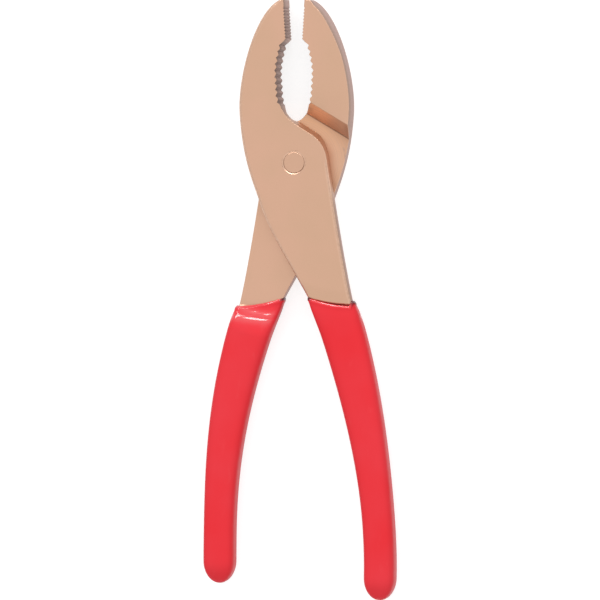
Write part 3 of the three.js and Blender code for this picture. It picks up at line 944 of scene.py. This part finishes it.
def rivet_mesh(name):
    """The flush rivet: two countersunk heads with broken edges on one shank."""
    edge, shank = RIVET_HEAD_RADIUS, RIVET_SHANK_RADIUS
    half = [(0, 0), (1.6, 0), (edge - 0.4, 0), (edge - 0.19, 0), (edge - 0.02, 0.1)]
    half += [(edge - 0.005, 0.14), (shank + 0.04, COUNTERSINK_DEPTH - 0.08), (shank, COUNTERSINK_DEPTH)]
    profile = half + [(radius, THICKNESS - level) for radius, level in half[::-1]]
    turn = np.linspace(0, 2 * np.pi, HOLE_SIDES, endpoint=False)
    points = [(0, 0, 0)]
    for radius, level in profile[1:-1]:
        points += [(radius * cos(t), radius * sin(t), level) for t in turn]
    points.append((0, 0, THICKNESS))
    top = len(points) - 1
    rings = range(1, top, HOLE_SIDES)
    faces = [(0, b, a) for a, b, _, _ in band(rings[0], rings[1], HOLE_SIDES)]
    for lower, upper in zip(rings[:-1], rings[1:]):
        faces += band(lower, upper, HOLE_SIDES)
    faces += [(d, c, top) for _, _, c, d in band(rings[-2], rings[-1], HOLE_SIDES)]
    return new_mesh(name, points, faces)


def new_material(name):
    """An empty material with its tree, the inputs of its surface and its coordinates."""
    material = bpy.data.materials.new(name)
    material.use_nodes = True
    tree = material.node_tree
    tree.nodes.clear()
    surface = node(tree, "ShaderNodeBsdfPrincipled")
    node(tree, "ShaderNodeOutputMaterial", {0: surface.outputs[0]})
    return material, tree, surface.inputs, node(tree, "ShaderNodeTexCoord").outputs


def grain(place, size, detail=2.0, stretch=None):
    """Noise from 0 to 1 with features of about the given size in metres."""
    if stretch:
        place = vector_calc("MULTIPLY", place, stretch)
    given = {"Vector": place, "Scale": 1 / size, "Detail": detail}
    return outcome(place.id_data, "ShaderNodeTexNoise", given)


def between(value, low, high, start=0.0, end=1.0, **settings):
    names = ("Value", "From Min", "From Max", "To Min", "To Max")
    given = dict(zip(names, (value, low, high, start, end)))
    return outcome(value.id_data, "ShaderNodeMapRange", given, **settings)


def blend(share, a, b):
    made = node(share.id_data, "ShaderNodeMix", data_type="RGBA")
    for socket, value in ((made.inputs[0], share), (made.inputs[6], a), (made.inputs[7], b)):
        put(socket, (*value, 1) if isinstance(value, tuple) else value)
    return made.outputs[2]


def bumped(height, depth, under=None):
    given = {"Height": height, "Distance": depth, "Strength": 1.0}
    if under:
        given["Normal"] = under
    return outcome(height.id_data, "ShaderNodeBump", given)


def share_of(tree, label):
    return node(tree, "ShaderNodeAttribute", attribute_name=label).outputs["Fac"]


def bronze(name, face_tints, roughness):
    """Satin copper alloy: blasted faces, darker grey-brown sides with painted shade towards their top,
    orange ground laps painted brighter with painted shade at the step's foot, painted shade in the
    grooves, and rubbed edges with a painted highlight on the rivet's ring.
    """
    material, tree, surface, source = new_material(name)
    place = source["Object"]
    axes = parts(place)
    side = between(calc("ABSOLUTE", parts(source["Normal"])[2]), 0.3, 0.85, 1.0, 0.0)
    lap, ground, step = (share_of(tree, label) for label in ("lap", "ground", "step"))
    cloud = grain(place, METAL_CLOUD)
    speck = grain(place, METAL_SPECK, 4.0)
    fine = grain(place, METAL_FINE, 1.0)

    # Ground metal of the lap in its orange, painted brighter to stand in for light where the cheek and
    # the step shade it, with painted shade darkening it towards the step's foot, and the step's own
    # ramp
    below = calc("MINIMUM", step, 0.0)
    fresh_and_brightened = times(ground, calc("EXPONENT", times(below, 0.1)))
    fresh_and_brightened = times(fresh_and_brightened, between(calc("ABSOLUTE", axes[0]), 0.009, 0.017, 1.0, 0.35))
    ramp = times(ground, between(step, 0.0, 0.12))
    foot_shade = times(ground, calc("EXPONENT", times(below, 0.3)), minus(1.0, ramp))
    # Painted shade: a thin dark line along the crease at the step's foot
    foot = between(calc("ABSOLUTE", calc("ADD", step, 0.1)), 0.05, 0.3, 1.0, 0.0)

    colour = blend(between(cloud, 0.35, 0.65), *face_tints)
    colour = blend(times(fresh_and_brightened, 0.95), colour, BRIGHTENED_LAP_TINT)
    colour = blend(times(foot_shade, 0.75), colour, FOOT_SHADE_TINT)
    wall_tint_and_shade = blend(between(speck, 0.3, 0.7), *SIDE_TINTS)
    # Painted shade: the side walls darker towards their top, just under the top face
    wall_tint_and_shade = blend(between(axes[2], 0.0062, 0.0095, 0.0, 0.8), wall_tint_and_shade, SHADE_TINT)
    bright = calc("MAXIMUM", fresh_and_brightened, times(share_of(tree, "milled"), 0.85))
    side = times(side, minus(1.0, bright))
    colour = blend(side, colour, wall_tint_and_shade)
    colour = blend(between(fine, 0.62, 0.85, 0.0, 0.22), colour, SIDE_TINTS[1])

    # Rings rubbed into the lap by the other lever
    flat = outcome(tree, "ShaderNodeCombineXYZ", {"X": axes[0], "Y": axes[1]})
    radius = node(tree, "ShaderNodeVectorMath", {0: flat}, operation="LENGTH").outputs["Value"]
    turning = {"W": times(radius, RUB_RINGS), "Scale": 1.0, "Detail": 3.0}
    rings = outcome(tree, "ShaderNodeTexNoise", turning, noise_dimensions="1D")
    colour = blend(times(between(rings, 0.5, 0.7, 0.0, 0.35), lap), colour, SIDE_TINTS[0])
    rub = between(calc("ABSOLUTE", minus(radius, RUB_RADIUS)), 0.00012, 0.0005, 1.0, 0.0)
    rub = times(rub, lap, between(axes[1], 0.004, 0.006, 1.0, 0.0))
    broken = times(between(grain(place, RUB_PATCH), 0.45, 0.6), 0.6)
    colour = blend(times(rub, broken), colour, SIDE_TINTS[1])

    # Painted shade in the tooth and serration grooves
    groove = times(share_of(tree, "groove"), between(speck, 0.3, 0.7, 0.75, 1.0))
    # The step's foot line of painted shade joins the grooves
    groove = calc("MAXIMUM", groove, times(foot, ground, 0.7))
    colour = blend(groove, colour, GROOVE_SHADE_TINT)
    # Rubbed edges in a lighter tint; on the rivet's ring the same tint is a painted highlight
    worn_and_glinting = times(share_of(tree, "edge_wear"), between(speck, 0.35, 0.65, 0.25, 0.7))
    put(surface["Base Color"], blend(worn_and_glinting, colour, WEAR_AND_GLINT_TINT))
    put(surface["Metallic"], calc("MULTIPLY_ADD", ramp, -0.3, 1.0))

    rough = between(cloud, 0.3, 0.7, roughness - 0.03, roughness + 0.04)
    rough = calc("ADD", rough, between(fine, 0.3, 0.7, -0.03, 0.05))
    for share, change in ((side, 0.1), (fresh_and_brightened, -0.12), (worn_and_glinting, -0.12)):
        rough = calc("MULTIPLY_ADD", share, change, rough)
    put(surface["Roughness"], rough)
    waves = bumped(grain(place, METAL_WAVES), 4e-5)
    put(surface["Normal"], bumped(fine, 6e-6, bumped(speck, 1.2e-5, waves)))
    return material


def vinyl(name, tints, roughness):
    """Dipped soft vinyl: glossy, a little uneven, with faint scuffs, orange peel and painted shade at
    the rim's corners.
    """
    material, tree, surface, source = new_material(name)
    place = source["Object"]
    cloud = grain(place, VINYL_CLOUD)
    peel = grain(place, VINYL_PEEL)
    fine = grain(place, VINYL_FINE, 1.0)
    scuffed = between(grain(place, VINYL_SCUFF, 5.0, (1.0, 0.35, 1.0)), 0.62, 0.74)
    colour = blend(between(cloud, 0.3, 0.7), *tints)
    colour = blend(times(scuffed, 0.1), colour, SCUFF_TINT)
    # Painted shade: near-black where the lip stands off the metal at the rim's corners
    grime = times(share_of(tree, "grime"), 0.9)
    put(surface["Base Color"], blend(grime, colour, RIM_SHADE_TINT))
    rough = between(cloud, 0.3, 0.7, roughness - 0.02, roughness + 0.03)
    for share, change in ((grime, 0.4), (scuffed, 0.1), (fine, 0.04)):
        rough = calc("MULTIPLY_ADD", share, change, rough)
    put(surface["Roughness"], rough)
    put(surface["Specular IOR Level"], 0.06)
    put(surface["Coat Roughness"], 0.11)
    put(surface["Coat IOR"], 1.75)
    put(surface["Coat Weight"], share_of(tree, "gloss"))
    waves = bumped(grain(place, VINYL_WAVES), 2e-5)
    put(surface["Normal"], bumped(fine, 5e-7, bumped(peel, 2e-6, waves)))
    return material


def floor_paper(name):
    """White studio paper that looks white wherever it is seen but still takes a shadow."""
    material, tree, surface, source = new_material(name)
    fibre = grain(source["Object"], PAPER_FIBRE, 4.0)
    shade = between(fibre, 0.3, 0.7, 0.44, 0.46)
    grey = {"Red": shade, "Green": shade, "Blue": shade}
    put(surface["Base Color"], outcome(tree, "ShaderNodeCombineColor", grey))
    put(surface["Roughness"], 0.9)
    put(surface["Specular IOR Level"], 0.0)
    put(surface["Normal"], bumped(fibre, 1e-5))
    path = node(tree, "ShaderNodeLightPath").outputs
    seen = calc("MAXIMUM", path["Is Camera Ray"], path["Is Glossy Ray"])
    seen = calc("MAXIMUM", seen, path["Is Transmission Ray"])
    put(surface["Emission Color"], (1, 1, 1, 1))
    put(surface["Emission Strength"], times(seen, FLOOR_GLOW))
    return material


def finished(piece, turned_over, sharp_angle):
    """Swing a piece open, turn it over if it is on the rear lever, and bring it to metres."""
    swing = Matrix.Rotation(radians(REST_OPENING / 2), 4, "Z")
    over = Matrix.Translation((0, 0, THICKNESS)) @ Matrix.Rotation(pi, 4, "Y")
    mesh = piece.data
    mesh.transform(Matrix.Scale(METRES, 4) @ (over if turned_over else Matrix()) @ swing)
    work = bmesh.new()
    work.from_mesh(mesh)
    bmesh.ops.remove_doubles(work, verts=work.verts, dist=2e-7)
    bmesh.ops.recalc_face_normals(work, faces=work.faces)
    work.to_mesh(mesh)
    work.free()
    mesh.polygons.foreach_set("use_smooth", [True] * len(mesh.polygons))
    mesh.set_sharp_from_angle(angle=radians(sharp_angle))
    mesh.update()


def lamp(name, place, target, size, radiance):
    """A rectangular lamp facing a target, with the brightness of its surface."""
    data = bpy.data.lights.new(name, "AREA")
    data.shape = "RECTANGLE"
    data.size, data.size_y = size
    data.energy = radiance * pi * size[0] * size[1]
    made = linked(name, data)
    made.location = place
    made.rotation_euler = (Vector(target) - Vector(place)).to_track_quat("-Z", "Y").to_euler()
    made.visible_camera = False


# Finishes
lever_finish = bronze("satin_rose_bronze", LEVER_FACE, 0.4)
rivet_finish = bronze("ground_rivet_bronze", RIVET_FACE, 0.36)
grip_finish = vinyl("dipped_red_vinyl", VINYL_TINTS, 0.3)

# Levers, grips and rivet
throat_path = new_curve("throat_path", tooth_line())
flat_ends = [[-JAW_GAP / 2, FLAT_FOOT], [-JAW_GAP / 2, JAW_REACH - PLAIN_TIP]]
flat_path = new_curve("flat_path", flat_ends)
teeth_values = {
    "Throat": throat_path,
    "Flat": flat_path,
    "Tooth pitch": TOOTH_PITCH,
    "Tooth depth": TOOTH_DEPTH,
    "Serration pitch": SERRATION_PITCH,
    "Serration depth": SERRATION_DEPTH,
    "Crest": TOOTH_CREST,
    "Thickness": THICKNESS,
    "Overrun": CUT_OVERRUN,
    "Finish": lever_finish,
}


def grip_values(side):
    values = {
        "Sides": GRIP_SIDES,
        "Top width": GRIP_TOP_WIDTH,
        "End width": GRIP_END_WIDTH,
        "Taper length": GRIP_TAPER_LENGTH,
        "Thickness": THICKNESS,
        "Rim level": LAP_LEVEL - NECK_SEAT - GRIP_INSET,
        "Joggle start": JOGGLE_START,
        "Joggle length": JOGGLE_LENGTH,
        "Top squareness": TOP_SQUARENESS,
        "End squareness": END_SQUARENESS,
        "Rim lean": RIM_LEAN,
        "Rim sag": RIM_SAG,
        "Wrinkle width": WRINKLE_WIDTH,
        "Gloss spread": GLOSS_SPREAD,
        "Corner curl": CORNER_CURL[side],
        "Outer grime": OUTER_CORNER_SHADE[side],
        "Finish": grip_finish,
    }
    for wrinkle, sizes in WRINKLES.items():
        values.update({f"{wrinkle} {label}": size for label, size in sizes.items()})
    return values


teeth = jaw_teeth_tree(teeth_values)
sweep = grip_tree(grip_values("front"))
for side, shape in (("front", FRONT_HANDLE), ("rear", REAR_HANDLE)):
    lever = lever_blank(side + "_lever_forging", shape)
    grown(lever, teeth, teeth_values)
    finished(lever, side == "rear", METAL_SHARP_ANGLE)
    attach(lever, side + "_half")
    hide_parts(side + "_lever")

    grip = grip_path(side + "_dipped_grip", centre_line(shape))
    grown(grip, sweep, grip_values(side))
    finished(grip, side == "rear", GRIP_SHARP_ANGLE)
    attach(grip, side + "_half")
    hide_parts(side + "_grip")

rivet = rivet_mesh("flush_rivet")
rivet.data.materials.append(rivet_finish)
finished(rivet, False, METAL_SHARP_ANGLE)
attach(rivet, "rear_half")
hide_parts("pivot_rivet")
for path in (throat_path, flat_path):
    bpy.data.curves.remove(path.data)

# Floor, light and camera
floor_corners = [(-2, -2, 0), (2, -2, 0), (2, 2, 0), (-2, 2, 0)]
floor = new_mesh("studio_floor", floor_corners, [(0, 1, 2, 3)])
floor.data.transform(Matrix.Translation((0, 0, -FLOOR_DROP)))
floor.data.materials.append(floor_paper("white_paper"))

world = bpy.data.worlds.new("studio_sky")
world.use_nodes = True
bpy.context.scene.world = world
background = world.node_tree.nodes["Background"].inputs
up = parts(node(world.node_tree, "ShaderNodeTexCoord").outputs["Generated"])[2]
put(background["Strength"], between(up, 0.05, 0.85, *SKY))
put(background["Color"], (1, 1, 1, 1))

lamp("key_lamp", place=(0.05, 1.03, 0.56), target=(0, -0.02, 0.01), size=(2.0, 0.09), radiance=14.4)

camera_data = bpy.data.cameras.new("photo_camera")
camera_data.lens = LENS
camera_data.sensor_width = 36
camera_data.clip_end = 20
camera = linked("photo_camera", camera_data)
turned = Matrix.Translation(VIEW_TARGET) @ Matrix.Rotation(VIEW_TILT, 4, "Y")
camera.matrix_world = turned @ Matrix.Translation((0, 0, VIEW_DISTANCE))
bpy.context.scene.camera = camera
bpy.context.scene.view_settings.view_transform = "Standard"
